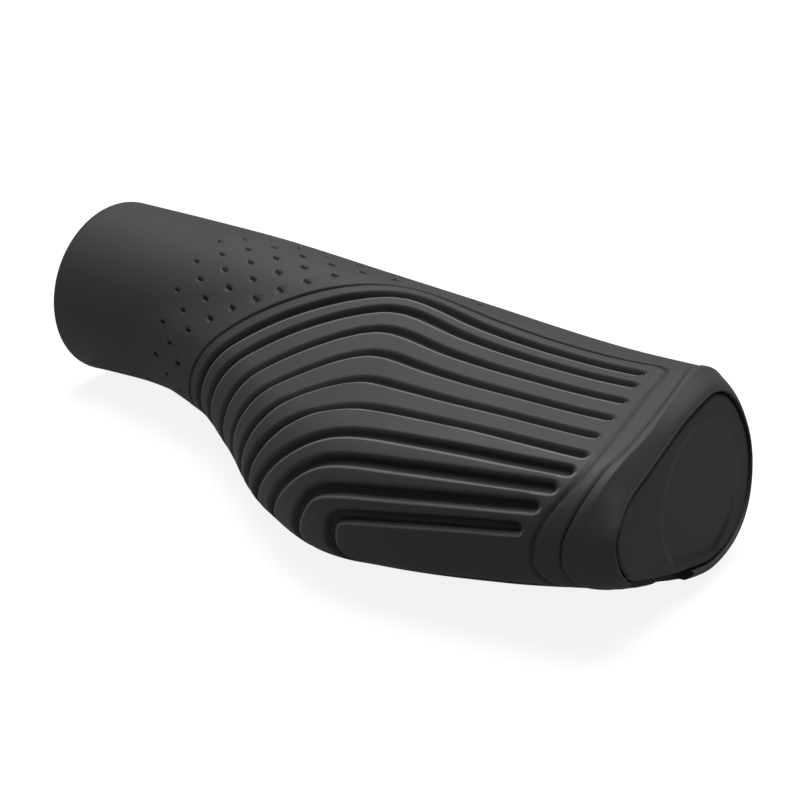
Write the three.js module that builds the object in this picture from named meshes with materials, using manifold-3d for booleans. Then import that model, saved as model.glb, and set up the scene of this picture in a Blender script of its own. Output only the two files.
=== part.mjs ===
// Right-hand bicycle handlebar grip with a palm wing and a separate end cap.
// Millimetres. +X runs outboard along the handlebar, -Y is rearward to the rider, +Z is up.
// The origin is on the bar axis, in the plane of the inboard end face.
import * as THREE from 'three';
import { mergeVertices } from 'three/addons/utils/BufferGeometryUtils.js';
import Module from 'manifold-3d';

const wasm = await Module();
wasm.setup();

// Size of the whole grip
const gripLength = 131;
const barRadius = 11.1;
const fitGap = 0.3;

// Section stations along the bar, each as [distance from the inboard face, value]
const lobeRadius = [
  [0, 15.94], [18, 16.43], [35, 16.69], [60, 16.14], [80, 15.67], [110, 14.97], [gripLength, 15.69],
];
const undersideRadius = [
  [0, 15.56], [8, 14.3], [22, 12.7], [50, 15.5], [90, 14.63], [gripLength, 14.9],
];
const wingReach = [
  [0, 0], [20, 0], [38, 2.99], [52, 9.77], [70, 21.03], [90, 29.02], [112, 24.87], [gripLength, 18.43],
];
const wingTipRadius = [[0, 14.83], [20, 14.83], [45, 11.7], [70, 11.78], [100, 11.77], [gripLength, 9.81]];
const wingDroopDegrees = [[0, 10], [50, 14.4], [95, 1.5], [gripLength, -6.7]];

// Slant of the outboard end, as a slope of X over Y and over Z
const slantStart = 60;
const endSlopeY = -0.178;
const endSlopeZ = -0.122;

// Collar, lip and pocket at the outboard end
const collarStart = 124.4;
const collarLineWidth = 0.5;
const collarLineDepth = 0.5;
const collarRise = 0.25;
const chamferStart = 128.7;
const lipInset = 2.3;
const pocketInset = 2.8;
const pocketDepth = 2.9;

// Ribbed panel: a ring line round it and the grooves between its ribs
const panelFoldT = -0.037;
const panelEnd = 121;
const grooveWidth = 2.0;
const grooveFloorWidth = 1.3;
const grooveDepth = 1.2;
const ringLineWidth = 1.0;
const ringLineDepth = 0.8;
const bendLead = 0.267;
const bendReach = 0.572;
const fallPower = 1.16;

// Grooves: inboard fold, end of the bend, width round the wing there and at the panel's end, and tip
const grooves = [
  { fold: 41.2, bend: 76.3, rise: 0.332, endRise: 0.288, end: 120.5 },
  { fold: 45.9, bend: 77.2, rise: 0.305, endRise: 0.259, end: 121.0 },
  { fold: 51.9, bend: 78.6, rise: 0.270, endRise: 0.222, end: 121.3 },
  { fold: 57.4, bend: 81.1, rise: 0.231, endRise: 0.182, end: 121.3 },
  { fold: 62.2, bend: 84.2, rise: 0.187, endRise: 0.141, end: 121.3 },
  { fold: 65.0, bend: 88.4, rise: 0.139, endRise: 0.101, end: 121.3 },
  { fold: 68.0, bend: 91.0, rise: 0.093, endRise: 0.074, end: 121.3 },
  { fold: 73.7, bend: 90.3, rise: 0.061, endRise: 0.052, end: 121.0 },
  { fold: 81.8, bend: 88.2, rise: 0.031, endRise: 0.031, end: 119.8 },
  { fold: 89.2, bend: 91.5, rise: 0.006, endRise: 0.007, end: 118.0 },
];
const ringLine = { fold: 37.9, bend: 75.1, rise: 0.350, endRise: 0.311, end: 119.5 };
const ringEndX = 123.3;

// End cap
const capEdgeRound = 0.5;
const capRecess = 0.3;
const capCupRadius = 12.0;
const capCupEnd = 126.0;
const discRadius = 11.0;
const discDepth = 0.4;
const discTilt = 0.026;
const plugRadius = 8.6;
const plugBoreRadius = 6.9;
const plugTip = 112.0;
const plugSlotWidth = 2.0;
const plugSlotLength = 9.0;

// Gap in the lip under the cap
const lipGapCentreY = -19.6;
const lipGapWidth = 20.0;
const lipGapDepth = 2.6;
const lipGapTop = -1;

// Mesh fineness
const ringPoints = 48;
const roundSegments = 48;
const pathStep = 6;
const flatness = 0.06;

const rubber = new THREE.MeshStandardMaterial({ color: 0x2b2c2e, roughness: 0.75, metalness: 0.0 });
const plastic = new THREE.MeshStandardMaterial({ color: 0x222325, roughness: 0.5, metalness: 0.0 });

// Smooth curve through [x, value] stations that keeps to their rise and fall
function alongStations(stations, x) {
  const last = stations.length - 1;
  if (x <= stations[0][0]) return stations[0][1];
  if (x >= stations[last][0]) return stations[last][1];
  const width = (i) => stations[i + 1][0] - stations[i][0];
  const slope = (i) => (stations[i + 1][1] - stations[i][1]) / width(i);
  const slopeAt = (i) => {
    if (i === 0) return slope(0);
    if (i === last) return slope(last - 1);
    const before = slope(i - 1);
    const after = slope(i);
    if (before * after <= 0) return 0;
    const a = 2 * width(i) + width(i - 1);
    const b = width(i) + 2 * width(i - 1);
    return (a + b) / (a / before + b / after);
  };
  let i = 0;
  while (x > stations[i + 1][0]) i += 1;
  const h = width(i);
  const u = (x - stations[i][0]) / h;
  const v = 1 - u;
  const start = stations[i][1] * (1 + 2 * u) * v * v + slopeAt(i) * h * u * v * v;
  const end = stations[i + 1][1] * (3 - 2 * u) * u * u - slopeAt(i + 1) * h * u * u * v;
  return start + end;
}

// Section at x: a bar lobe and a wing tip circle joined by straight flanks.
// t runs 0..1 from the wing tip over the top, the front and the underside back to the tip.
function sectionPoint(x, t) {
  const lobe = alongStations(lobeRadius, x);
  const under = alongStations(undersideRadius, x);
  const tip = Math.min(alongStations(wingTipRadius, x), lobe);
  const droop = THREE.MathUtils.degToRad(alongStations(wingDroopDegrees, x));
  const centre = lobe + alongStations(wingReach, x) - tip;
  const lean = centre > 1e-6 ? Math.asin(Math.min(1, (lobe - tip) / centre)) : Math.PI / 2;
  const flank = centre * Math.cos(lean);
  const tipArc = tip * (Math.PI / 2 - lean);
  const halfRound = tipArc + flank + lobe * (Math.PI / 2 + lean);
  const turn = t - Math.floor(t);
  const top = turn <= 0.5;
  const s = (top ? turn : 1 - turn) * 2 * halfRound;
  let a;
  let b;
  if (s <= tipArc) {
    a = centre + tip * Math.cos(s / tip);
    b = tip * Math.sin(s / tip);
  } else if (s <= tipArc + flank) {
    const f = (s - tipArc) / flank;
    a = centre + tip * Math.sin(lean) + (lobe * Math.sin(lean) - centre - tip * Math.sin(lean)) * f;
    b = (tip + (lobe - tip) * f) * Math.cos(lean);
  } else {
    const angle = Math.PI / 2 - lean + (s - tipArc - flank) / lobe;
    a = lobe * Math.cos(angle);
    b = lobe * Math.sin(angle);
  }
  if (!top) b *= -under / lobe;
  return {
    y: -a * Math.cos(droop) - b * Math.sin(droop),
    z: -a * Math.sin(droop) + b * Math.cos(droop),
  };
}

// Unit normal of the section outline, in the YZ plane
function sectionNormal(x, t) {
  const before = sectionPoint(x, t - 0.004);
  const after = sectionPoint(x, t + 0.004);
  const dy = after.y - before.y;
  const dz = after.z - before.z;
  const length = Math.hypot(dy, dz);
  return { y: -dz / length, z: dy / length };
}

// Point of the outer skin at x and t, moved in by inset and slanted toward the outboard end
function skinPoint(x, t, inset = 0) {
  const point = sectionPoint(x, t);
  const normal = sectionNormal(x, t);
  const y = point.y - normal.y * inset;
  const z = point.z - normal.z * inset;
  const slant = THREE.MathUtils.smoothstep(x, slantStart, gripLength);
  return new THREE.Vector3(x + slant * (endSlopeY * y + endSlopeZ * z), y, z);
}

function skinNormal(x, t) {
  const alongX = skinPoint(x + 0.5, t).sub(skinPoint(x - 0.5, t));
  const alongT = skinPoint(x, t + 0.004).sub(skinPoint(x, t - 0.004));
  return alongX.cross(alongT).normalize();
}

// Closed solid through rings of points, with a flat fan at each end
function solidFromRings(rings) {
  const count = rings[0].length;
  const positions = [];
  const index = [];
  for (const ring of rings) {
    for (const point of ring) positions.push(point.x, point.y, point.z);
  }
  for (let i = 0; i < rings.length - 1; i += 1) {
    for (let j = 0; j < count; j += 1) {
      const a = i * count + j;
      const b = i * count + ((j + 1) % count);
      index.push(a, a + count, b, b, a + count, b + count);
    }
  }
  const addFan = (ring, base, outward) => {
    const middle = new THREE.Vector3();
    for (const point of ring) middle.addScaledVector(point, 1 / count);
    const centre = positions.length / 3;
    positions.push(middle.x, middle.y, middle.z);
    for (let j = 0; j < count; j += 1) {
      const a = base + j;
      const b = base + ((j + 1) % count);
      if (outward) index.push(centre, b, a);
      else index.push(centre, a, b);
    }
  };
  addFan(rings[0], 0, false);
  addFan(rings[rings.length - 1], (rings.length - 1) * count, true);
  const geometry = new THREE.BufferGeometry();
  geometry.setAttribute('position', new THREE.Float32BufferAttribute(positions, 3));
  geometry.setIndex(index);
  return geometry;
}

function toSolid(source) {
  let geometry = source.clone();
  geometry.deleteAttribute('normal');
  geometry.deleteAttribute('uv');
  geometry = mergeVertices(geometry, 1e-5);
  const mesh = new wasm.Mesh({
    numProp: 3,
    vertProperties: new Float32Array(geometry.attributes.position.array),
    triVerts: new Uint32Array(geometry.index.array),
  });
  mesh.merge();
  const solid = new wasm.Manifold(mesh);
  return solid.volume() < 0 ? flipped(geometry) : solid;
}

function flipped(geometry) {
  const corners = Uint32Array.from(geometry.index.array);
  for (let i = 0; i < corners.length; i += 3) {
    const first = corners[i];
    corners[i] = corners[i + 1];
    corners[i + 1] = first;
  }
  const mesh = new wasm.Mesh({
    numProp: 3,
    vertProperties: new Float32Array(geometry.attributes.position.array),
    triVerts: corners,
  });
  mesh.merge();
  return new wasm.Manifold(mesh);
}

function toMesh(solid, name, material) {
  const result = solid.getMesh();
  const geometry = new THREE.BufferGeometry();
  geometry.setAttribute('position', new THREE.BufferAttribute(result.vertProperties, 3));
  geometry.setIndex(new THREE.BufferAttribute(result.triVerts, 1));
  const flat = geometry.toNonIndexed();
  flat.computeVertexNormals();
  const mesh = new THREE.Mesh(flat, material);
  mesh.name = name;
  return mesh;
}

// Round bar along X between two distances
function barSolid(radius, from, to, slopeY = 0, slopeZ = 0) {
  const profile = [
    new THREE.Vector2(0, from),
    new THREE.Vector2(radius, from),
    new THREE.Vector2(radius, to),
    new THREE.Vector2(0, to),
  ];
  const geometry = new THREE.LatheGeometry(profile, roundSegments);
  geometry.rotateZ(-Math.PI / 2);
  return toSolid(slanted(geometry, slopeY, slopeZ));
}

// Leans a geometry so that its X grows with the slopes over Y and Z
function slanted(geometry, slopeY, slopeZ) {
  return geometry.applyMatrix4(new THREE.Matrix4().makeShear(0, 0, slopeY, 0, slopeZ, 0));
}

function boxSolid(sizeX, sizeY, sizeZ, x, y, z) {
  const geometry = new THREE.BoxGeometry(sizeX, sizeY, sizeZ);
  geometry.translate(x, y, z);
  return toSolid(geometry);
}

// Half of a groove on the wing's top, from its inboard fold to its outboard end
function groovePath(groove, s) {
  const lift = groove.rise - panelFoldT;
  if (s > 1) {
    const x = groove.bend + (groove.end - groove.bend) * (s - 1);
    const f = (x - groove.bend) / (panelEnd - groove.bend);
    return { x, t: groove.rise + (groove.endRise - groove.rise) * f ** fallPower };
  }
  const v = 1 - s;
  const run = groove.bend - groove.fold;
  const early = v * v * v + 3 * v * v * s;
  const late = s * s * s;
  const middle = 3 * v * s * s;
  return {
    x: groove.fold * early + (groove.fold + bendReach * run) * middle + groove.bend * late,
    t: panelFoldT + lift * (3 * v * v * s * bendLead + middle + late),
  };
}

// The same path mirrored under the wing gives one U-shaped run
function groovePoints(groove) {
  const half = [];
  for (let i = 0; i <= 60; i += 1) half.push(groovePath(groove, (i / 60) * 2));
  const under = half.slice(1).reverse().map((p) => ({ x: p.x, t: 2 * panelFoldT - p.t }));
  return under.concat(half);
}

// Keeps about one point per step length along a path on the skin
function spaced(points, step, closed) {
  const skin = points.map((p) => skinPoint(p.x, p.t));
  const distance = [0];
  for (let i = 1; i < skin.length; i += 1) {
    distance.push(distance[i - 1] + skin[i].distanceTo(skin[i - 1]));
  }
  const total = distance[distance.length - 1];
  const count = Math.round(total / step);
  const kept = [];
  let i = 0;
  for (let k = 0; k < (closed ? count : count + 1); k += 1) {
    const target = (total * k) / count;
    while (i < points.length - 2 && distance[i + 1] < target) i += 1;
    const f = (target - distance[i]) / (distance[i + 1] - distance[i]);
    kept.push({
      x: points[i].x + (points[i + 1].x - points[i].x) * f,
      t: points[i].t + (points[i + 1].t - points[i].t) * f,
    });
  }
  return kept;
}

// Cutter that follows a path on the skin with a tapered four-sided section
function sweptCutter(path, width, floorWidth, depth, closed) {
  const above = 0.9;
  const skin = path.map((p) => skinPoint(p.x, p.t));
  const count = path.length;
  const rings = path.map((p, i) => {
    const before = skin[closed ? (i + count - 1) % count : Math.max(0, i - 1)];
    const after = skin[closed ? (i + 1) % count : Math.min(count - 1, i + 1)];
    const tangent = after.clone().sub(before).normalize();
    const normal = skinNormal(p.x, p.t);
    const side = tangent.clone().cross(normal).normalize();
    const corner = (across, up) => skin[i].clone().addScaledVector(side, across).addScaledVector(normal, up);
    const top = width / 2 + ((width - floorWidth) / 2) * (above / depth);
    return [
      corner(-top, above),
      corner(top, above),
      corner(floorWidth / 2, -depth),
      corner(-floorWidth / 2, -depth),
    ];
  });
  if (!closed) return toSolid(solidFromRings(rings));
  const positions = [];
  const index = [];
  for (const ring of rings) {
    for (const point of ring) positions.push(point.x, point.y, point.z);
  }
  for (let i = 0; i < count; i += 1) {
    for (let j = 0; j < 4; j += 1) {
      const a = i * 4 + j;
      const b = i * 4 + ((j + 1) % 4);
      const c = ((i + 1) % count) * 4 + j;
      const d = ((i + 1) % count) * 4 + ((j + 1) % 4);
      index.push(a, c, b, b, c, d);
    }
  }
  const geometry = new THREE.BufferGeometry();
  geometry.setAttribute('position', new THREE.Float32BufferAttribute(positions, 3));
  geometry.setIndex(index);
  return toSolid(geometry);
}

// Ring line: the U of the panel's border closed across the outboard end with rounded corners
function ringLinePoints() {
  const border = groovePoints(ringLine);
  const top = border[border.length - 1];
  const under = border[0];
  const corner = 0.014;
  const end = [];
  for (let i = 1; i <= 6; i += 1) {
    const angle = (i / 6) * (Math.PI / 2);
    end.push({
      x: top.x + (ringEndX - top.x) * Math.sin(angle),
      t: top.t - corner * (1 - Math.cos(angle)),
    });
  }
  const across = [];
  const from = top.t - corner;
  const to = under.t + corner;
  for (let i = 1; i < 60; i += 1) across.push({ x: ringEndX, t: from + ((to - from) * i) / 60 });
  const back = end.map((p) => ({ x: p.x, t: 2 * panelFoldT - p.t })).reverse();
  return border.concat(end, across, back);
}

function skinRing(x, inset) {
  const ring = [];
  for (let j = 0; j < ringPoints; j += 1) ring.push(skinPoint(x, j / ringPoints, inset));
  return ring;
}

// Outer body with its rounded inboard edge, collar, chamfered lip and cap pocket
function sleeveBody() {
  const rings = [skinRing(0, 1.0), skinRing(0.3, 0.3), skinRing(1.0, 0)];
  const bodyRings = 20;
  for (let i = 1; i <= bodyRings; i += 1) {
    rings.push(skinRing(1 + ((collarStart - 1) * i) / bodyRings, 0));
  }
  const lineEnd = collarStart + 0.2 + collarLineWidth;
  rings.push(skinRing(collarStart + 0.2, collarLineDepth));
  rings.push(skinRing(lineEnd, collarLineDepth));
  rings.push(skinRing(lineEnd + 0.2, -collarRise));
  rings.push(skinRing(chamferStart, -collarRise));
  rings.push(skinRing(gripLength - 0.7, lipInset - 1.1));
  rings.push(skinRing(gripLength, lipInset - 0.4));
  rings.push(skinRing(gripLength + 0.1, lipInset));
  rings.push(skinRing(gripLength - 0.3, pocketInset));
  rings.push(skinRing(gripLength - pocketDepth, pocketInset));
  return toSolid(solidFromRings(rings));
}

// Gap in the underside of the lip, down to just above the pocket floor
function lipGap() {
  const reach = 20;
  const geometry = new THREE.BoxGeometry(reach, lipGapWidth, reach);
  geometry.translate(gripLength - lipGapDepth + reach / 2, lipGapCentreY, lipGapTop - reach / 2);
  return toSolid(slanted(geometry, endSlopeY, endSlopeZ));
}

function gripSleeve() {
  const cutters = [
    barSolid(barRadius, -1, gripLength + 8),
    barSolid(capCupRadius + fitGap, capCupEnd - fitGap, gripLength + 8),
    lipGap(),
    sweptCutter(spaced(ringLinePoints(), pathStep, true), ringLineWidth, ringLineWidth / 2, ringLineDepth, true),
  ];
  for (const groove of grooves) {
    const path = spaced(groovePoints(groove), pathStep, false);
    cutters.push(sweptCutter(path, grooveWidth, grooveFloorWidth, grooveDepth, false));
  }
  return wasm.Manifold.difference([sleeveBody(), ...cutters]).simplify(flatness);
}

// Cap plate in the slanted end, with a flat round disc face sunk into it and a split plug behind
function endCap() {
  const outline = pocketInset + fitGap;
  const back = gripLength - pocketDepth + fitGap;
  const front = gripLength - capRecess;
  const plate = toSolid(solidFromRings([
    skinRing(back, outline),
    skinRing(front - capEdgeRound, outline),
    skinRing(front, outline + capEdgeRound),
  ]));
  const behindCup = boxSolid(30, 60, 60, capCupEnd - 15, 0, 0);
  const cup = barSolid(capCupRadius, capCupEnd - 8, front - 0.5, endSlopeY, endSlopeZ).subtract(behindCup);
  const plug = barSolid(plugRadius, plugTip, capCupEnd + 1);
  const body = wasm.Manifold.union([plate, cup, plug]);
  const slotX = plugTip + plugSlotLength / 2 - 1;
  return wasm.Manifold.difference([
    body,
    barSolid(discRadius, front - discDepth, gripLength + 8, endSlopeY + discTilt, endSlopeZ + discTilt),
    barSolid(plugBoreRadius, plugTip - 1, capCupEnd + 0.8),
    boxSolid(plugSlotLength + 2, plugSlotWidth, plugRadius * 3, slotX, 0, 0),
    boxSolid(plugSlotLength + 2, plugRadius * 3, plugSlotWidth, slotX, 0, 0),
  ]);
}

const grip = new THREE.Group();
grip.name = 'handlebar_grip';
grip.add(toMesh(gripSleeve(), 'grip_sleeve', rubber));
grip.add(toMesh(endCap(), 'end_cap', plastic));

export default grip;
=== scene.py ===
import math
import bmesh
import bpy
import numpy as np
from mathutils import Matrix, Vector
from mathutils.kdtree import KDTree


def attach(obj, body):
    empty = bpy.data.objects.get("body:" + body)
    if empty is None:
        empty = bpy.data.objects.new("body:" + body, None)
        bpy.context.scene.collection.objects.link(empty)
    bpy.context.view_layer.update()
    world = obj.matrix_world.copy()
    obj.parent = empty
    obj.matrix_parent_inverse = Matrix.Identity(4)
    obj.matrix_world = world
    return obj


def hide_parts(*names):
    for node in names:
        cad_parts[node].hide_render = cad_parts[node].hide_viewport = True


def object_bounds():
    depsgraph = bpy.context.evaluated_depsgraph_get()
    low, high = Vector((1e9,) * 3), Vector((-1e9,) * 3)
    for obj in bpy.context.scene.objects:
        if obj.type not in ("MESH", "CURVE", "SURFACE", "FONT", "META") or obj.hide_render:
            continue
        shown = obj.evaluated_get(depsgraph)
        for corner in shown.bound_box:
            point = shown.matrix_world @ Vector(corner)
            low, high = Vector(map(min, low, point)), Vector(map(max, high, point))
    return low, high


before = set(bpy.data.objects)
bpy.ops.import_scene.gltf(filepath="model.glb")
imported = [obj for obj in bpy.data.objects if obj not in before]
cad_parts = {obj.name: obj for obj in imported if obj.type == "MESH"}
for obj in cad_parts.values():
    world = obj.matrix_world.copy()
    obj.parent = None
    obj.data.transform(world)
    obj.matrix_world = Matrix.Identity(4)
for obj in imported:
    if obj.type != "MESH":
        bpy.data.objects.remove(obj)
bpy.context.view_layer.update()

# Lengths below are in millimetres; every piece is brought to metres when its mesh is made.
MM = 0.001

# Grip sizes, the same as the solids have; each station is (distance along the bar, value)
GRIP_LENGTH = 131.0
BAR_RADIUS = 11.1
LOBE_RADIUS = [
    (0, 15.94), (18, 16.43), (35, 16.69), (60, 16.14), (80, 15.67), (110, 14.97), (GRIP_LENGTH, 15.69),
]
UNDERSIDE_RADIUS = [(0, 15.56), (8, 14.3), (22, 12.7), (50, 15.5), (90, 14.63), (GRIP_LENGTH, 14.9)]
WING_REACH = [
    (0, 0), (20, 0), (38, 2.99), (52, 9.77), (70, 21.03), (90, 29.02), (112, 24.87), (GRIP_LENGTH, 18.43),
]
WING_TIP_RADIUS = [(0, 14.83), (20, 14.83), (45, 11.7), (70, 11.78), (100, 11.77), (GRIP_LENGTH, 9.81)]
WING_DROOP = [(0, 10), (50, 14.4), (95, 1.5), (GRIP_LENGTH, -6.7)]
SLANT_START = 60.0
END_SLOPE_Y = -0.178
END_SLOPE_Z = -0.122
BORE_ROUND = 0.8
INBOARD_ROUND = 1.1

# Pocket in the outboard end, and the gap in the underside of its lip
POCKET_FLOOR = 128.1
POCKET_STEP = 125.7
BORE_END = 125.5
CAP_GAP = 0.3
LIP_SIDE = 0.1
LIP_GAP = ((128.4, -29.6, -24.0), (142.0, -9.6, -1.0))
LIP_GAP_ROUND = 0.9

# End cap: plate, disc, cup and plug
PLATE_SIDE = 0.2
PLATE_FACE = 130.7
PLATE_BACK = 128.4
DISC_CENTRE = (-5.0, -0.6)
DISC_REACH = (13.0, 10.3)
DISC_DEPTH = 0.35
DISC_TILT = (0.035, 0.025)
CUP_RADIUS = 12.0
CUP_BACK = 126.0
PLUG_RADIUS = 8.6
PLUG_BORE = 6.9
PLUG_FLOOR = 124.5
PLUG_TIP = 112.0
PLUG_SLOT_END = 121.0

# Ribbed panel: values at the ring line (row 0), at the ten grooves and at the middle of the palm pad
FOLD_T = -0.037
PANEL_END = 121.0
GROOVES = range(1, 11)
GROOVE_SAMPLES = 900
ROWS = [-1, 0, 1, 2, 3, 4, 5, 6, 7, 8, 9, 10, 11]
ROW_FOLD = [34.2, 38.1, 41.4, 46.0, 52.0, 57.5, 62.3, 65.1, 68.1, 73.8, 81.8, 89.3, 99.0]
ROW_BEND = [69.0, 70.5, 72.0, 73.6, 75.5, 78.5, 82.0, 86.3, 88.5, 88.1, 88.0, 91.2, 104.0]
ROW_RISE = [0.387, 0.357, 0.339, 0.313, 0.278, 0.238, 0.193, 0.145, 0.097, 0.063, 0.032, 0.006, FOLD_T]
ROW_END = [119.0, 119.5, 119.8, 120.5, 121.3, 121.8, 122.2, 123.1, 122.5, 121.0, 119.1, 117.0, 117.0]
ROW_END_RISE = [0.345, 0.311, 0.289, 0.260, 0.222, 0.182, 0.141, 0.101, 0.074, 0.052, 0.031, 0.008, FOLD_T]
RING_CORNER = 0.014
BEND_LEAD = 0.349
BEND_REACH = 0.808
BEND_SOFTNESS = 0.3

# Grooves and ring line: each wall as (start, end) from the middle line, and the distance from it of the
# painted highlight along the inner edge
INNER_WALL = (0.5, 1.18)
OUTER_WALL = (0.2, 1.2)
LIT_EDGE = 1.3
GROOVE_DEPTH = 1.25
RING_WALL = (0.06, 0.42)
RING_DEPTH = 0.5
PANEL_LIFT = 0.02
PANEL_SINK = 1.9
# Where a distance field stops counting
FAR = 4.0

# Lines across the collar, each as (share of the way round from the wing tip, x)
PANEL_LINE = [
    (0, 118.5), (0.031, 119.5), (0.061, 121.5), (0.079, 123.1), (0.101, 124.6), (0.14, 125.4),
    (0.187, 125.0), (0.293, 123.8), (0.5, 122.8),
]
COLLAR_LINE = [
    (0, 122.6), (0.03, 123.3), (0.058, 124.8), (0.1, 126.9), (0.15, 128.1), (0.21, 127.9),
    (0.287, 127.2), (0.342, 126.5), (0.5, 125.5),
]
CREASE = [
    (0, 125.0), (0.043, 125.8), (0.087, 128.0), (0.13, 129.3), (0.18, 129.5), (0.25, 128.7),
    (0.342, 127.7), (0.42, 127.2), (0.5, 127.0),
]
COLLAR_RISE = 0.18
# Inset of the cap plate's outline from the skin, against t
PLATE_INSET = [
    (-0.5, 2.4), (-0.43, 1.9), (-0.33, 2.6), (-0.24, 1.6), (-0.16, 1.0), (-0.06, 0.9), (-0.01, 0.9),
    (0.03, 2.4), (0.09, 3.9), (0.17, 3.0), (0.23, 2.4), (0.32, 2.9), (0.41, 3.4), (0.5, 2.4),
]

# Dimples: the lattice's counts across and down as factors of 1, x, t, x*x, x*t and t*t
DIMPLES_ACROSS = (10.362, -0.15156, -13.392, 0.00044, -0.0295, -6.611)
DIMPLES_DOWN = (3.503, -0.11437, 19.214, -0.00095, 0.0501, -5.796)
# Step of the lattice for each count: along the bar across and down, then round the bar across and down
DIMPLE_STEP = (-3.44, -3.11, -4.07, 2.44)
DIMPLE_FIELD_X = (27.5, 93.0)
DIMPLE_FIELD_T = (FOLD_T, FOLD_T + 0.47)
DIMPLE_ROOM = 2.4
DIMPLE_SMALL = 0.7
DIMPLE_DEPTH = 0.5

# Camera fitted to the photograph, and the studio's levels of light
CAMERA_AZIMUTH = 40.73
CAMERA_ELEVATION = 22.55
CAMERA_TARGET = (66.0, 3.32, -5.98)
CAMERA_DISTANCE = 370.9
FOCAL_LENGTH_PIXELS = 2200.0
PICTURE_PIXELS = 800.0
WORLD_LIGHT = 0.12
FLOOR_GLOW = 0.88
FLOOR_IN_REFLECTIONS = 0.2
FLOOR_COLOUR = 0.24
FLOOR_REACH = 6.0


# Curves and the outer skin
def along(stations, x):
    """Smooth curve through the stations that keeps to their rise and fall."""
    xs = np.array([s[0] for s in stations], float)
    ys = np.array([s[1] for s in stations], float)
    x = np.clip(np.asarray(x, float), xs[0], xs[-1])
    width = np.diff(xs)
    slope = np.diff(ys) / width
    tangent = np.zeros(len(xs))
    tangent[0], tangent[-1] = slope[0], slope[-1]
    for i in range(1, len(xs) - 1):
        if slope[i - 1] * slope[i] > 0:
            a = 2 * width[i] + width[i - 1]
            b = width[i] + 2 * width[i - 1]
            tangent[i] = (a + b) / (a / slope[i - 1] + b / slope[i])
    i = np.clip(np.searchsorted(xs, x, side="right") - 1, 0, len(width) - 1)
    h = width[i]
    u = (x - xs[i]) / h
    v = 1 - u
    start = ys[i] * (1 + 2 * u) * v * v + tangent[i] * h * u * v * v
    end = ys[i + 1] * (3 - 2 * u) * u * u - tangent[i + 1] * h * u * u * v
    return start + end


def ease(low, high, value):
    f = np.clip((value - low) / (high - low), 0, 1)
    return f * f * (3 - 2 * f)


def section(x, t):
    """Y and Z of the outline at x; t runs 0..1 from the wing tip over the top, front and underside."""
    lobe = along(LOBE_RADIUS, x)
    under = along(UNDERSIDE_RADIUS, x)
    tip = np.minimum(along(WING_TIP_RADIUS, x), lobe)
    droop = np.radians(along(WING_DROOP, x))
    centre = lobe + along(WING_REACH, x) - tip
    safe = np.maximum(centre, 1e-6)
    lean = np.where(centre > 1e-6, np.arcsin(np.clip((lobe - tip) / safe, -1, 1)), math.pi / 2)
    flank = np.maximum(centre * np.cos(lean), 1e-9)
    tip_arc = tip * (math.pi / 2 - lean)
    half = tip_arc + flank + lobe * (math.pi / 2 + lean)
    turn = t - np.floor(t)
    top = turn <= 0.5
    s = np.where(top, turn, 1 - turn) * 2 * half
    f = (s - tip_arc) / flank
    angle = math.pi / 2 - lean + (s - tip_arc - flank) / lobe
    on_tip = s <= tip_arc
    on_flank = s <= tip_arc + flank
    a = np.where(on_tip, centre + tip * np.cos(s / tip), np.where(
        on_flank,
        centre + tip * np.sin(lean) + (lobe * np.sin(lean) - centre - tip * np.sin(lean)) * f,
        lobe * np.cos(angle)))
    b = np.where(on_tip, tip * np.sin(s / tip), np.where(
        on_flank, (tip + (lobe - tip) * f) * np.cos(lean), lobe * np.sin(angle)))
    b = np.where(top, b, -b * under / lobe)
    y = -a * np.cos(droop) - b * np.sin(droop)
    z = -a * np.sin(droop) + b * np.cos(droop)
    return y, z


def skin(x, t, inset=0.0):
    """Points of the outer skin, moved in by inset and slanted toward the outboard end."""
    x, t = np.broadcast_arrays(np.asarray(x, float), np.asarray(t, float))
    y, z = section(x, t)
    y0, z0 = section(x, t - 0.004)
    y1, z1 = section(x, t + 0.004)
    dy, dz = y1 - y0, z1 - z0
    length = np.hypot(dy, dz)
    y = y + dz / length * inset
    z = z - dy / length * inset
    slant = ease(SLANT_START, GRIP_LENGTH, x)
    return np.stack([x + slant * (END_SLOPE_Y * y + END_SLOPE_Z * z), y, z], -1)


def skin_normal(x, t):
    along_x = skin(x + 0.4, t) - skin(x - 0.4, t)
    along_t = skin(x, t + 0.003) - skin(x, t - 0.003)
    normal = np.cross(along_x, along_t)
    return normal / np.linalg.norm(normal, axis=-1, keepdims=True)


# Lines of the panel and the collar
def row_value(values, row):
    return along(list(zip(ROWS, values)), row)


def turned(t):
    """Share of the way round the section from the wing tip, the same above and below."""
    return np.abs((t - FOLD_T + 0.5) % 1.0 - 0.5)


def plate_inset(t):
    """Inset of the plate's outline from the skin."""
    return along(PLATE_INSET, (np.asarray(t) + 0.5) % 1.0 - 0.5)


def fall_share(x, bend):
    """How far a groove has come down, 0 where its bend ends and 1 at the panel's outboard end."""
    return np.clip((x - bend) / (PANEL_END - bend), 0, None)


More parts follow.
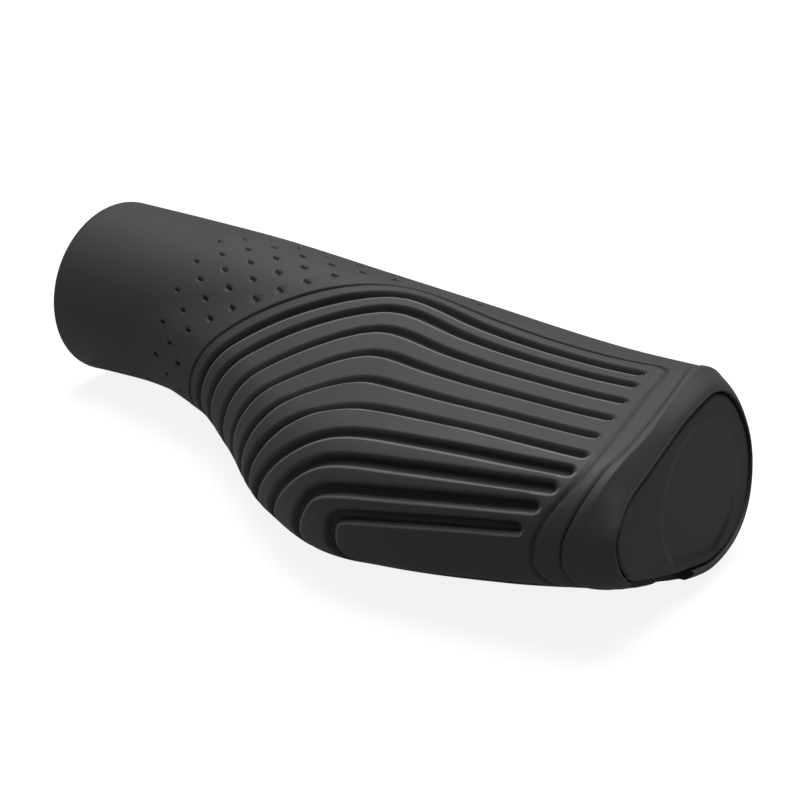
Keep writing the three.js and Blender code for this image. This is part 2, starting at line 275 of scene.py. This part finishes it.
def panel_point(row, s):
    """x and t on the panel: row counts grooves, s runs 0..1 round the bend and 1..2 to the end."""
    fold = row_value(ROW_FOLD, row)
    bend = row_value(ROW_BEND, row)
    rise = row_value(ROW_RISE, row)
    end = row_value(ROW_END, row)
    fall = row_value(ROW_END_RISE, row) - rise
    side = np.where(s < 0, -1.0, 1.0)
    soft = BEND_SOFTNESS * ease(0.3, 0.8, np.abs(s))
    x = t = 0
    # The crest is rounded by averaging the path over a short stretch
    for step in (-3, -2, -1, 0, 1, 2, 3):
        along_path = np.abs(s) + soft * step / 3
        c = np.clip(along_path, 0, 1)
        v = 1 - c
        early = v ** 3 + 3 * v * v * c
        middle = 3 * v * c * c
        late = c ** 3
        step_x = fold * early + (fold + BEND_REACH * (bend - fold)) * middle + bend * late
        step_x = step_x + (end - bend) * np.clip(along_path - 1, 0, None)
        step_t = FOLD_T + (rise - FOLD_T) * (3 * v * v * c * BEND_LEAD + middle + late)
        step_t = step_t + np.where(along_path > 1, fall * fall_share(step_x, bend), 0)
        x = x + step_x * (4 - abs(step)) / 16
        t = t + step_t * (4 - abs(step)) / 16
    return x, FOLD_T + side * (t - FOLD_T)


def groove_line(row, count=GROOVE_SAMPLES):
    s = np.linspace(-2, 2, count)
    return panel_point(np.full(count, float(row)), s)


def ring_line():
    """x and t round the panel's border, with rounded corners at the outboard end."""
    x, t = groove_line(0, 1200)
    angle = np.linspace(0, math.pi / 2, 30)
    corner_t = t[-1] - RING_CORNER * (1 - np.cos(angle))
    corner_x = x[-1] + (along(PANEL_LINE, turned(corner_t[-1])) - x[-1]) * np.sin(angle)
    across_t = np.linspace(corner_t[-1], 2 * FOLD_T - corner_t[-1], 500)
    across_x = along(PANEL_LINE, turned(across_t))
    xs = np.concatenate([x, corner_x, across_x, corner_x[::-1]])
    ts = np.concatenate([t, corner_t, across_t, (2 * FOLD_T - corner_t)[::-1]])
    return xs, ts


# Distances and meshes
def tree_of(line):
    tree = KDTree(len(line))
    for i, p in enumerate(line):
        tree.insert(p, i)
    tree.balance()
    return tree


def distance_to(points, line):
    """Distance from each point to a line of many close points, and the number of the nearest one."""
    tree = tree_of(line)
    found = [tree.find(p)[1:] for p in points.reshape(-1, 3)]
    distance = np.array([f[1] for f in found]).reshape(points.shape[:-1])
    nearest = np.array([f[0] for f in found]).reshape(points.shape[:-1])
    return distance, nearest


def inside_loop(x, t, loop_x, loop_t):
    """Whether each x, t lies inside a closed loop of x and t."""
    inside = np.zeros(x.shape, bool)
    for i in range(len(loop_x)):
        j = i - 1
        crosses = (loop_t[i] > t) != (loop_t[j] > t)
        if not crosses.any():
            continue
        step = loop_t[j] - loop_t[i]
        edge = loop_x[i] + (loop_x[j] - loop_x[i]) * (t - loop_t[i]) / (step if step else 1e-12)
        inside ^= crosses & (x < edge)
    return inside


def grid_mesh(name, points, closed_rows=False, closed_columns=True, fields=None):
    """Mesh piece from a grid of points in millimetres, smooth shaded, with its point fields."""
    rows, columns = points.shape[:2]
    i = np.arange(rows if closed_rows else rows - 1)[:, None]
    j = np.arange(columns if closed_columns else columns - 1)[None, :]
    a = i * columns + j
    b = i * columns + (j + 1) % columns
    c = (i + 1) % rows * columns + (j + 1) % columns
    d = (i + 1) % rows * columns + j
    faces = np.stack([a, d, c, b], -1).reshape(-1, 4)
    mesh = bpy.data.meshes.new(name)
    mesh.from_pydata((points.reshape(-1, 3) * MM).tolist(), [], faces.tolist())
    for field, values in (fields or {}).items():
        layer = mesh.attributes.new(field, "FLOAT", "POINT")
        layer.data.foreach_set("value", np.asarray(values, np.float32).ravel())
    work = bmesh.new()
    work.from_mesh(mesh)
    bmesh.ops.remove_doubles(work, verts=work.verts, dist=2e-7)
    bmesh.ops.recalc_face_normals(work, faces=work.faces)
    if closed_columns and work.calc_volume(signed=True) < 0:
        bmesh.ops.reverse_faces(work, faces=work.faces)
    work.to_mesh(mesh)
    work.free()
    mesh.shade_smooth()
    piece = bpy.data.objects.new(name, mesh)
    bpy.context.collection.objects.link(piece)
    return piece


def rounded_block(name, low, high, radius):
    """Closed block with rounded edges, in millimetres."""
    mesh = bpy.data.meshes.new(name)
    corners = [(x, y, z) for x in (low[0], high[0]) for y in (low[1], high[1]) for z in (low[2], high[2])]
    faces = [(0, 1, 3, 2), (4, 6, 7, 5), (0, 4, 5, 1), (2, 3, 7, 6), (0, 2, 6, 4), (1, 5, 7, 3)]
    mesh.from_pydata([tuple(c * MM for c in p) for p in corners], [], faces)
    block = bpy.data.objects.new(name, mesh)
    bpy.context.collection.objects.link(block)
    bevel = block.modifiers.new("round", "BEVEL")
    bevel.width = radius * MM
    bevel.segments = 6
    return block


def cut_with(piece, cutter):
    """Takes a closed block away from a closed piece."""
    cut = piece.modifiers.new("cut", "BOOLEAN")
    cut.operation = "DIFFERENCE"
    cut.solver = "MANIFOLD"
    cut.object = cutter
    bpy.context.view_layer.update()
    graph = bpy.context.evaluated_depsgraph_get()
    result = bpy.data.meshes.new_from_object(piece.evaluated_get(graph))
    result.materials.clear()
    result.polygons.foreach_set("material_index", [0] * len(result.polygons))
    piece.modifiers.clear()
    piece.data = result
    bpy.data.objects.remove(cutter)


def close_caps(piece):
    """Fills the small open rings left at the ends of a grid."""
    work = bmesh.new()
    work.from_mesh(piece.data)
    bmesh.ops.holes_fill(work, edges=[e for e in work.edges if e.is_boundary], sides=400)
    work.to_mesh(piece.data)
    work.free()


def fit_piece(piece, node, material):
    piece.data.materials.append(material)
    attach(piece, "root")
    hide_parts(node)
    return piece


# Shader maths: a socket that can be added, multiplied and compared like a number
class Value:
    def __init__(self, tree, socket):
        self.tree = tree
        self.socket = socket

    def maths(self, operation, *others):
        node = self.tree.nodes.new("ShaderNodeMath")
        node.operation = operation
        for slot, item in zip(node.inputs, (self,) + others):
            if isinstance(item, Value):
                self.tree.links.new(item.socket, slot)
            else:
                slot.default_value = item
        return Value(self.tree, node.outputs[0])

    def __add__(self, other):
        return self.maths("ADD", other)

    def __sub__(self, other):
        return self.maths("SUBTRACT", other)

    def __mul__(self, other):
        return self.maths("MULTIPLY", other)

    def __truediv__(self, other):
        return self.maths("DIVIDE", other)

    def __rsub__(self, other):
        return (self * -1.0) + other

    __radd__ = __add__
    __rmul__ = __mul__

    def __abs__(self):
        return self.maths("ABSOLUTE")

    def rounded(self):
        return self.maths("ROUND")

    def above(self, low, high):
        """0 below low, 1 above high, with a smooth step between."""
        f = ((self - low) / (high - low)).maths("MAXIMUM", 0.0).maths("MINIMUM", 1.0)
        return f * f * (3.0 - 2.0 * f)

    def below(self, low, high):
        return 1.0 - self.above(low, high)


class Finish:
    """A material with one shader, built from nodes."""

    def __init__(self, name):
        self.material = bpy.data.materials.new(name)
        self.material.use_nodes = True
        self.tree = self.material.node_tree
        self.shader = self.tree.nodes["Principled BSDF"]

    def node(self, kind, settings=None, output=0, **inputs):
        node = self.tree.nodes.new(kind)
        for key, value in (settings or {}).items():
            setattr(node, key, value)
        for key, value in inputs.items():
            slot = node.inputs[int(key[1:])] if key[1:].isdigit() else node.inputs[key.replace("_", " ")]
            if isinstance(value, Value):
                self.tree.links.new(value.socket, slot)
            else:
                slot.default_value = value
        return Value(self.tree, node.outputs[output])

    def field(self, name):
        return self.node("ShaderNodeAttribute", {"attribute_name": name}, output="Fac")

    def place(self):
        return self.node("ShaderNodeTexCoord", output="Object")

    def noise(self, scale, detail=3.0, roughness=0.5):
        return self.node("ShaderNodeTexNoise", output="Fac", Vector=self.place(), Scale=scale,
                         Detail=detail, Roughness=roughness)

    def mix(self, factor, first, second):
        return self.node("ShaderNodeMix", {"data_type": "RGBA"}, output=2, _0=factor, _6=first, _7=second)

    def bump(self, height, strength, distance):
        return self.node("ShaderNodeBump", Height=height, Strength=strength, Distance=distance)

    def feed(self, **sockets):
        for key, value in sockets.items():
            slot = self.shader.inputs[key.replace("_", " ")]
            if isinstance(value, Value):
                self.tree.links.new(value.socket, slot)
            else:
                slot.default_value = value
        return self.material


# Finishes
def grey(level, tint=0.0):
    """Grey that leans to blue by the tint."""
    return (level * (1 - tint), level, level * (1 + tint), 1.0)


def rubber_finish():
    """Charcoal rubber with painted shade in the dimples and groove floors and a painted highlight along the
    groove edges.
    """
    finish = Finish("charcoal_rubber")
    groove = finish.field("groove_mm")
    ring = finish.field("ring_mm")
    line = finish.field("line_mm")
    across = finish.field("dimple_across")
    down = finish.field("dimple_down")
    size = finish.field("dimple_size")
    along_bar, round_bar = dimple_offset(across - across.rounded(), down - down.rounded(), size)
    # Painted shade in the dimples: a black mark a little wider than each pit
    dimple_shade = along_bar.below(0.80, 0.86) * round_bar.below(0.34, 0.4) * size.above(0.1, 0.2)
    cloud = finish.noise(45.0, 4.0)
    grain = finish.noise(2600.0, 3.0, 0.6)
    scuff = finish.noise(260.0, 5.0, 0.65).above(0.52, 0.78)
    # Painted shade on each groove's floor, mostly under its outer shoulder, and a painted highlight as a thin
    # light line along its inner edge
    edge = finish.field("edge_mm")
    lit_floor = edge.below(2.0, 3.0) * groove.above(0.05, 0.4)
    floor = groove.below(0.5, 1.0) * (1.0 - lit_floor * 0.8)
    edge_highlight = edge.below(0.12, 0.24)
    skin_tone = finish.mix(cloud.above(0.3, 0.7), grey(0.049, 0.03), grey(0.055, 0.03))
    # Painted highlight along each groove's inner edge, mixed with a little real scuff wear
    worn = finish.mix(edge_highlight * 0.85 + scuff * 0.04, skin_tone, grey(0.19, 0.03))
    # Painted shade in the groove floors
    groove_shaded = finish.mix(floor * 0.75, worn, grey(0.012, 0.02))
    lined = finish.mix(ring.below(0.1, 0.5) * 0.7 + line.below(0.1, 0.35) * 0.5, groove_shaded, grey(0.012))
    # Painted shade in the dimples
    dimples_shaded = finish.mix(dimple_shade, lined, grey(0.002))
    height = grain * 0.25 + finish.noise(700.0, 2.0) * 0.35
    return finish.feed(
        Base_Color=dimples_shaded,
        Roughness=0.54 + cloud * 0.1 - scuff * 0.06 + floor * 0.1 + dimple_shade * 0.2,
        Normal=finish.bump(height, 0.35, 0.00012),
        Specular_IOR_Level=0.42,
    )


def cap_finish():
    """Matt black plastic; the plate round the disc is painted darker than the disc, as painted shade."""
    finish = Finish("matt_cap_plastic")
    cloud = finish.noise(60.0, 3.0)
    grain = finish.noise(3600.0, 2.0, 0.5)
    scuff = finish.noise(320.0, 6.0, 0.7).above(0.55, 0.8)
    disc = finish.field("disc_share")
    # Painted shade: the plate round the disc is coloured darker than the disc, though both are one plastic
    rim_shade_tone = finish.mix(cloud.above(0.3, 0.7), grey(0.004, 0.0), grey(0.006, 0.0))
    disc_tone = finish.mix(cloud.above(0.3, 0.7), grey(0.014, 0.0), grey(0.017, 0.0))
    tone = finish.mix(disc.above(0.2, 0.8), rim_shade_tone, disc_tone)
    worn = finish.mix(scuff * 0.2, tone, grey(0.04, 0.02))
    return finish.feed(
        Base_Color=worn,
        Roughness=0.48 + cloud * 0.08 + grain * 0.05,
        Normal=finish.bump(grain, 0.2, 0.00006),
        Specular_IOR_Level=0.45,
    )


# Dimples in a slanted lattice
def dimple_counts(x, t):
    """Place in the dimple lattice, in whole numbers at each dimple's centre."""
    terms = (1.0, x, t, x * x, x * t, t * t)
    across = sum(factor * term for factor, term in zip(DIMPLES_ACROSS, terms))
    down = sum(factor * term for factor, term in zip(DIMPLES_DOWN, terms))
    return across, down


def dimple_offset(i, j, size):
    """Offsets along and round the bar for part counts i and j, in millimetres of a full-size dimple."""
    along_bar = abs(i * DIMPLE_STEP[0] + j * DIMPLE_STEP[1]) / size
    round_bar = abs(i * DIMPLE_STEP[2] + j * DIMPLE_STEP[3]) / size
    return along_bar, round_bar


def dimple_place(i, j):
    """x and t of dimple i, j, by Newton's steps from the middle of the field."""
    x, t = 47.0, 0.2
    step = 1e-3
    for _ in range(12):
        across, down = dimple_counts(x, t)
        right = dimple_counts(x + step, t)
        up = dimple_counts(x, t + step)
        a, b = (right[0] - across) / step, (up[0] - across) / step
        c, d = (right[1] - down) / step, (up[1] - down) / step
        det = a * d - b * c
        x -= ((across - i) * d - (down - j) * b) / det
        t -= ((down - j) * a - (across - i) * c) / det
    return x, t


def dimple_sizes(ring_x, ring_t):
    """Size of each dimple that has room outside the ring line; small ones lie inboard."""
    ring = tree_of(skin(ring_x, ring_t))
    sizes = {}
    for i in range(-12, 9):
        for j in range(-8, 12):
            x, t = dimple_place(i, j)
            if not DIMPLE_FIELD_X[0] < x < DIMPLE_FIELD_X[1]:
                continue
            if not DIMPLE_FIELD_T[0] < t < DIMPLE_FIELD_T[1]:
                continue
            if inside_loop(np.array([x]), np.array([t]), ring_x, ring_t)[0]:
                continue
            if ring.find(skin(x, t))[2] > DIMPLE_ROOM:
                sizes[i, j] = DIMPLE_SMALL + (1 - DIMPLE_SMALL) * float(ease(29.0, 48.0, x))
    return sizes


# Panel lines and dimples, worked out once for the pieces below
RING_X, RING_T = ring_line()
RING_POINTS = skin(RING_X, RING_T)
GROOVE_POINTS = np.concatenate([skin(*groove_line(row)) for row in GROOVES])
GROOVE_ROWS = np.repeat(GROOVES, GROOVE_SAMPLES)
DIMPLES = dimple_sizes(RING_X, RING_T)


def dimple_fields(x, t):
    """Lattice counts and dimple size over the skin, mirrored onto the underside."""
    across, down = dimple_counts(x, FOLD_T + turned(t))
    size = np.zeros(x.shape)
    for (i, j), value in DIMPLES.items():
        size[(np.round(across) == i) & (np.round(down) == j)] = value
    return across, down, size


def dimple_depth(across, down, size):
    """Depth of the pits under the dimple marks."""
    i = across - np.round(across)
    j = down - np.round(down)
    along_bar, round_bar = dimple_offset(i, j, np.maximum(size, 0.01))
    return DIMPLE_DEPTH * (1 - ease(0.5, 0.8, along_bar)) * (1 - ease(0.15, 0.4, round_bar)) * (size > 0.1)


# Ribbed panel: a sheet laid over the sleeve, its rows along the wrap-around grooves
def panel_rows():
    """Rows of the sheet's grid, closest together at the walls of the grooves."""
    steps = [0, 0.05, 0.09, 0.125, 0.155, 0.185, 0.215, 0.245, 0.28, 0.33, 0.4, 0.5]
    rows = [-0.85, -0.7, -0.55, -0.4, -0.3, -0.22, -0.16, -0.11, -0.07, -0.035]
    for k in range(0, 11):
        rows += [k + step for step in steps]
        if k < 10:
            rows += [k + 1 - step for step in steps[-2:0:-1]]
    rows += [10.6, 10.7, 10.8, 10.9, 11.0]
    return np.array(sorted(set(np.round(rows, 4))))


def panel_grid():
    """Row number, x and t over the sheet, from the collar line below round to the collar line above."""
    rows = panel_rows()
    bend = np.linspace(0, 1, 92)
    straight = np.linspace(1, 1.86, 56)[1:]
    half = np.concatenate([bend, straight])
    s = np.concatenate([-half[::-1], half[1:]])
    grid_row, grid_s = np.meshgrid(rows, s, indexing="ij")
    x, t = panel_point(grid_row, grid_s)
    # The last stretch runs straight along the bar to the collar line
    end_x = x[:, -1:]
    bend_x = row_value(ROW_BEND, rows)[:, None]
    rise = row_value(ROW_RISE, rows)[:, None]
    fall = row_value(ROW_END_RISE, rows)[:, None] - rise
    stop = end_x
    for _ in range(3):
        stop = along(COLLAR_LINE, turned(rise + fall * fall_share(stop, bend_x))) + 0.12
    tail_x = end_x + (stop - end_x) * np.linspace(0, 1, 27)[1:]
    tail_t = rise + fall * fall_share(tail_x, bend_x)
    x = np.concatenate([tail_x[:, ::-1], x, tail_x], 1)
    t = np.concatenate([2 * FOLD_T - tail_t[:, ::-1], t, tail_t], 1)
    return rows[:, None], x, t


def ribbed_panel(material):
    row, x, t = panel_grid()
    points = skin(x, t)
    groove, nearest = distance_to(points, GROOVE_POINTS)
    ring = distance_to(points, RING_POINTS)[0]
    # Soft shoulder on the outer side of each groove, steeper wall on the inner side
    inner = row > GROOVE_ROWS[nearest]
    wall = np.where(inner, ease(*INNER_WALL, groove), ease(*OUTER_WALL, groove))
    depth = GROOVE_DEPTH * (1 - wall)
    depth += RING_DEPTH * (1 - ease(*RING_WALL, ring))
    collar = along(COLLAR_LINE, turned(t))
    depth += 0.4 * ease(collar - 0.16, collar + 0.05, x)
    across, down, size = dimple_fields(x, t)
    depth += dimple_depth(across, down, size)
    points = points + skin_normal(x, t) * (PANEL_LIFT - depth)[..., None]
    # edge_mm places the painted highlight along the inner edge of each groove
    piece = grid_mesh("ribbed_panel", points, closed_columns=False, fields={
        "groove_mm": np.minimum(groove, FAR),
        "edge_mm": np.where(inner, np.abs(groove - LIT_EDGE), FAR),
        "ring_mm": np.minimum(ring, FAR),
        "line_mm": np.full(x.shape, FAR),
        "dimple_across": across,
        "dimple_down": down,
        "dimple_size": size,
    })
    return fit_piece(piece, "grip_sleeve", material)


# Sleeve body: bore, inboard end, skin, collar, lip and cap pocket as one closed surface
class Rings:
    """Rings of points round the bar, in order, each with its x and whether it follows the skin."""

    def __init__(self, columns):
        self.t = np.arange(columns) / columns
        self.points = []
        self.x = []
        self.outer = []

    def add(self, points, x, outer):
        self.points.append(points)
        self.x.append(x)
        self.outer.append(outer)

    def circle(self, x, radius, slanted=False):
        turn = -2 * math.pi * self.t
        y = -radius * np.cos(turn)
        z = -radius * np.sin(turn)
        shift = END_SLOPE_Y * y + END_SLOPE_Z * z if slanted else 0.0
        self.add(np.stack([x + shift + 0 * y, y, z], -1), np.full(len(self.t), x), False)

    def outline(self, x, inset):
        x = np.broadcast_to(x, len(self.t))
        self.add(skin(x, self.t, inset), x, True)


def sleeve_rings():
    rings = Rings(316)
    collar = along(COLLAR_LINE, turned(rings.t))
    crease = along(CREASE, turned(rings.t))
    lip = plate_inset(rings.t) - LIP_SIDE
    # The lip stands a little lower where it is thin
    tuck = 0.32 * (1 - ease(0.6, 1.8, lip))
    # Bore with its rounded mouth
    for x in np.linspace(120, 1.2, 14):
        rings.circle(x, BAR_RADIUS)
    for angle in np.linspace(0, math.pi / 2, 5):
        rings.circle(BORE_ROUND * (1 - math.sin(angle)), BAR_RADIUS + BORE_ROUND * (1 - math.cos(angle)))
    # Inboard face with its rounded edge
    for inset in (3.0, 2.0, 1.4):
        rings.outline(0.0, inset)
    for angle in np.linspace(0, math.pi / 2, 7):
        rings.outline(INBOARD_ROUND * (1 - math.cos(angle)), INBOARD_ROUND * (1 - math.sin(angle)))
    # Skin, finest where the dimples lie
    fine = np.arange(26.4, 94.0, 0.38)
    for x in np.concatenate([np.linspace(2, 26, 16), fine, np.linspace(95, 110, 14)]):
        rings.outline(x, 0.0)
    for f in np.linspace(0.06, 1, 18):
        rings.outline(110 + (collar - 0.3 - 110) * f, 0.0)
    # Collar line, then the raised collar
    for dx, inset in ((-0.06, 0.02), (0.0, 0.12), (0.05, 0.26), (0.1, 0.32), (0.22, 0.32), (0.28, 0.2),
                      (0.32, 0.02), (0.37, -0.1), (0.46, -0.16), (0.85, -COLLAR_RISE)):
        rings.outline(collar + dx, inset)
    for f in (0.3, 0.6, 0.85):
        rings.outline(collar + 0.85 + (crease - 0.15 - collar - 0.85) * f, -COLLAR_RISE)
    for f, inset in ((0.0, -0.17), (0.05, -0.14)):
        rings.outline(crease + (130.9 - crease) * f, inset)
    # Chamfer that rolls over into the lip
    for f in (0.1, 0.2, 0.32, 0.45, 0.58, 0.7, 0.82, 0.92, 1.0):
        x = crease + (130.8 - tuck - crease) * (1 - (1 - f) ** 1.5)
        rings.outline(x, -0.14 + (lip - 0.55 + 0.14) * f)
    for x, back in ((130.95, 0.42), (131.02, 0.28), (131.0, 0.15), (130.9, 0.05), (130.7, 0.0)):
        rings.outline(x - tuck, lip - back)
    # Pocket for the cap, stepped down to the bore
    for x, back in ((130.0, 0.0), (129.0, 0.0), (128.3, 0.0), (POCKET_FLOOR, -0.1)):
        rings.outline(x, lip - back)
    cup_wall = CUP_RADIUS + CAP_GAP
    rings.circle(POCKET_FLOOR, cup_wall + 0.1, slanted=True)
    rings.circle(POCKET_FLOOR - 0.1, cup_wall, slanted=True)
    for x in (POCKET_STEP + 0.1, POCKET_STEP):
        rings.circle(x, cup_wall)
    rings.circle(POCKET_STEP, BAR_RADIUS + 0.2)
    rings.circle(BORE_END, BAR_RADIUS)
    return rings, collar


def sink_under_panel(points, x, t):
    """How far the skin sinks where the ribbed panel lies over it."""
    centred = (t - FOLD_T + 0.5) % 1.0 - 0.5 + FOLD_T
    border_x, border_t = groove_line(0, 700)
    tail = np.linspace(border_x[-1], 140, 60)[1:]
    border_x = np.concatenate([tail[::-1], border_x, tail])
    border_t = np.pad(border_t, len(tail), "edge")
    within = inside_loop(x, centred, border_x, border_t)
    border = distance_to(points, skin(np.clip(border_x, 0, GRIP_LENGTH), border_t))[0]
    return PANEL_SINK * ease(-2.7, -0.6, np.where(within, border, -border))


def cut_lip_gap(piece):
    """Gap in the underside of the lip, slanted like the end it is cut into."""
    cutter = rounded_block("lip_gap", *LIP_GAP, LIP_GAP_ROUND)
    for corner in cutter.data.vertices:
        corner.co.x += END_SLOPE_Y * corner.co.y + END_SLOPE_Z * corner.co.z
    cut_with(piece, cutter)


def sleeve_body(material):
    rings, collar = sleeve_rings()
    points = np.stack(rings.points)
    x = np.stack(rings.x)
    outer = np.array(rings.outer)[:, None]
    t = np.broadcast_to(rings.t, x.shape)
    sink = sink_under_panel(points, x, t) * (outer & (x > 30) & (x < collar - 0.05))
    across, down, size = dimple_fields(x, t)
    size = size * outer
    sink += dimple_depth(across, down, size)
    points = points - skin_normal(x, t) * sink[..., None]
    line = np.where(outer, np.abs(x - collar - 0.16), FAR)
    far = np.full(x.shape, FAR)
    piece = grid_mesh("sleeve_body", points, closed_rows=True, fields={
        "groove_mm": far,
        "edge_mm": far,
        "ring_mm": far,
        "line_mm": np.minimum(line, FAR),
        "dimple_across": across,
        "dimple_down": down,
        "dimple_size": size,
    })
    cut_lip_gap(piece)
    return fit_piece(piece, "grip_sleeve", material)


# End cap: slanted drop-shaped plate, a flat disc sunk into it, and the split plug behind
PLUG_AND_CUP = (
    (PLUG_FLOOR, 0.05), (PLUG_FLOOR, PLUG_BORE - 0.4), (PLUG_FLOOR - 0.4, PLUG_BORE), (118, PLUG_BORE),
    (PLUG_TIP + 0.3, PLUG_BORE), (PLUG_TIP, PLUG_BORE + 0.3), (PLUG_TIP, PLUG_RADIUS - 0.5),
    (PLUG_TIP + 0.5, PLUG_RADIUS), (118, PLUG_RADIUS), (CUP_BACK - 0.4, PLUG_RADIUS),
    (CUP_BACK, PLUG_RADIUS + 0.3), (CUP_BACK, CUP_RADIUS - 0.3), (CUP_BACK + 0.3, CUP_RADIUS),
)
PLATE_EDGE = (
    (PLATE_BACK, 0.4), (128.45, 0.1), (128.6, 0.0), (130.0, 0.0), (130.3, 0.02), (130.45, 0.1),
    (130.56, 0.22), (130.63, 0.38), (PLATE_FACE, 0.55), (PLATE_FACE, 0.8),
)
# The disc's rings, each as (share of its reach, share of its depth)
DISC_RINGS = (
    (1.045, 0.05), (1.03, 0.18), (1.01, 0.45), (0.985, 0.75), (0.965, 0.93), (0.94, 1.0),
    (0.9, 1.0), (0.6, 1.0), (0.3, 1.0), (0.005, 1.0),
)


def on_slant(x, yz):
    """Points at y and z on the slanted plane that crosses the bar axis at x."""
    return np.stack([x + END_SLOPE_Y * yz[:, 0] + END_SLOPE_Z * yz[:, 1], yz[:, 0], yz[:, 1]], -1)


def cap_rings(columns):
    t = np.arange(columns) / columns
    end = np.full(columns, GRIP_LENGTH)
    plate = plate_inset(t) + PLATE_SIDE
    edge = skin(end, t, plate)[:, 1:]
    way = edge / np.linalg.norm(edge, axis=1, keepdims=True)
    rings = []
    for x, radius in PLUG_AND_CUP:
        rings.append(np.stack([np.full(columns, float(x)), way[:, 0] * radius, way[:, 1] * radius], -1))
    rings.append(on_slant(np.full(columns, PLATE_BACK), way * CUP_RADIUS))
    for x, inset in PLATE_EDGE:
        rings.append(on_slant(np.full(columns, x), skin(end, t, plate + inset)[:, 1:]))
    # Flat oval face: a rounded step down, deepest toward the wing and the underside, gone at the upper front
    inner = rings[-1][:, 1:] - DISC_CENTRE
    reach = np.linalg.norm(inner, axis=1)
    toward = inner / reach[:, None]
    oval = 1 / np.hypot(toward[:, 0] / DISC_REACH[0], toward[:, 1] / DISC_REACH[1])
    oval = np.minimum(oval, (reach - 0.2) / 1.07)
    for f in (0.75, 0.5, 0.25, 0.1, 0.0):
        distance = oval * 1.06 * (1 - f) + reach * f
        rings.append(on_slant(np.full(columns, PLATE_FACE), DISC_CENTRE + toward * distance[:, None]))
    for scale, blend in DISC_RINGS:
        yz = toward * (oval * scale)[:, None]
        drop = np.maximum(DISC_DEPTH - yz @ DISC_TILT, 0)
        rings.append(on_slant(PLATE_FACE - drop * blend, DISC_CENTRE + yz))
    return np.stack(rings)


def end_cap(material):
    points = cap_rings(260)
    disc_share = np.zeros(points.shape[:2])
    disc_share[-len(DISC_RINGS):] = 1.0
    piece = grid_mesh("end_cap_piece", points, fields={"disc_share": disc_share})
    close_caps(piece)
    for low, high in (((PLUG_TIP - 2, -1.0, -12.0), (PLUG_SLOT_END, 1.0, 12.0)),
                      ((PLUG_TIP - 2, -12.0, -1.0), (PLUG_SLOT_END, 12.0, 1.0))):
        cut_with(piece, rounded_block("plug_slot", low, high, 0.4))
    return fit_piece(piece, "end_cap", material)


# Floor, backdrop and light
def pale_floor(lowest):
    finish = Finish("pale_floor")
    camera_ray = finish.node("ShaderNodeLightPath", output="Is Camera Ray")
    glossy_ray = finish.node("ShaderNodeLightPath", output="Is Glossy Ray")
    seen = (camera_ray + glossy_ray * FLOOR_IN_REFLECTIONS).maths("MINIMUM", 1.0)
    finish.feed(Base_Color=grey(FLOOR_COLOUR), Roughness=0.9, Specular_IOR_Level=0.0)
    glow = finish.node("ShaderNodeEmission", Color=grey(1.0), Strength=seen * FLOOR_GLOW)
    both = finish.node("ShaderNodeAddShader", _0=Value(finish.tree, finish.shader.outputs[0]), _1=glow)
    finish.tree.links.new(both.socket, finish.tree.nodes["Material Output"].inputs["Surface"])
    mesh = bpy.data.meshes.new("floor")
    corners = [(-FLOOR_REACH, -FLOOR_REACH), (FLOOR_REACH, -FLOOR_REACH),
               (FLOOR_REACH, FLOOR_REACH), (-FLOOR_REACH, FLOOR_REACH)]
    mesh.from_pydata([(x, y, lowest) for x, y in corners], [], [(0, 1, 2, 3)])
    mesh.materials.append(finish.material)
    floor = bpy.data.objects.new("floor", mesh)
    bpy.context.collection.objects.link(floor)


def white_air():
    """White for the camera, and plain dim light on the object."""
    world = bpy.data.worlds.new("studio_air")
    world.use_nodes = True
    bpy.context.scene.world = world
    tree = world.node_tree
    background = tree.nodes["Background"]
    camera_ray = Value(tree, tree.nodes.new("ShaderNodeLightPath").outputs["Is Camera Ray"])
    strength = camera_ray * (1.0 - WORLD_LIGHT) + WORLD_LIGHT
    tree.links.new(strength.socket, background.inputs["Strength"])
    background.inputs["Color"].default_value = grey(1.0)


def lamp(name, place, target, size, power):
    light = bpy.data.lights.new(name, "AREA")
    light.shape = "RECTANGLE"
    light.size, light.size_y = size
    light.energy = power
    holder = bpy.data.objects.new(name, light)
    holder.location = Vector(place)
    holder.rotation_euler = (Vector(target) - Vector(place)).to_track_quat("-Z", "Y").to_euler()
    bpy.context.collection.objects.link(holder)


def photo_camera():
    azimuth, elevation = math.radians(CAMERA_AZIMUTH), math.radians(CAMERA_ELEVATION)
    back = Vector((math.sin(azimuth) * math.cos(elevation), -math.cos(azimuth) * math.cos(elevation),
                   math.sin(elevation)))
    lens = bpy.data.cameras.new("photo_camera")
    lens.sensor_width = 36.0
    lens.lens = FOCAL_LENGTH_PIXELS / PICTURE_PIXELS * lens.sensor_width
    lens.clip_start = 0.01
    camera = bpy.data.objects.new("photo_camera", lens)
    camera.location = Vector(CAMERA_TARGET) * MM + back * CAMERA_DISTANCE * MM
    camera.rotation_euler = back.to_track_quat("Z", "Y").to_euler()
    bpy.context.collection.objects.link(camera)
    bpy.context.scene.camera = camera


# The grip, its studio and its bounds, which set the floor's height
rubber = rubber_finish()
sleeve_body(rubber)
ribbed_panel(rubber)
end_cap(cap_finish())

photo_camera()
bpy.context.view_layer.update()
low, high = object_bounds()
pale_floor(low.z)
white_air()
lamp("top_light", (0.02, 0.16, 0.86), (0.066, 0.0, 0.0), (0.9, 0.9), 9.6)
bpy.context.scene.view_settings.view_transform = "Standard"
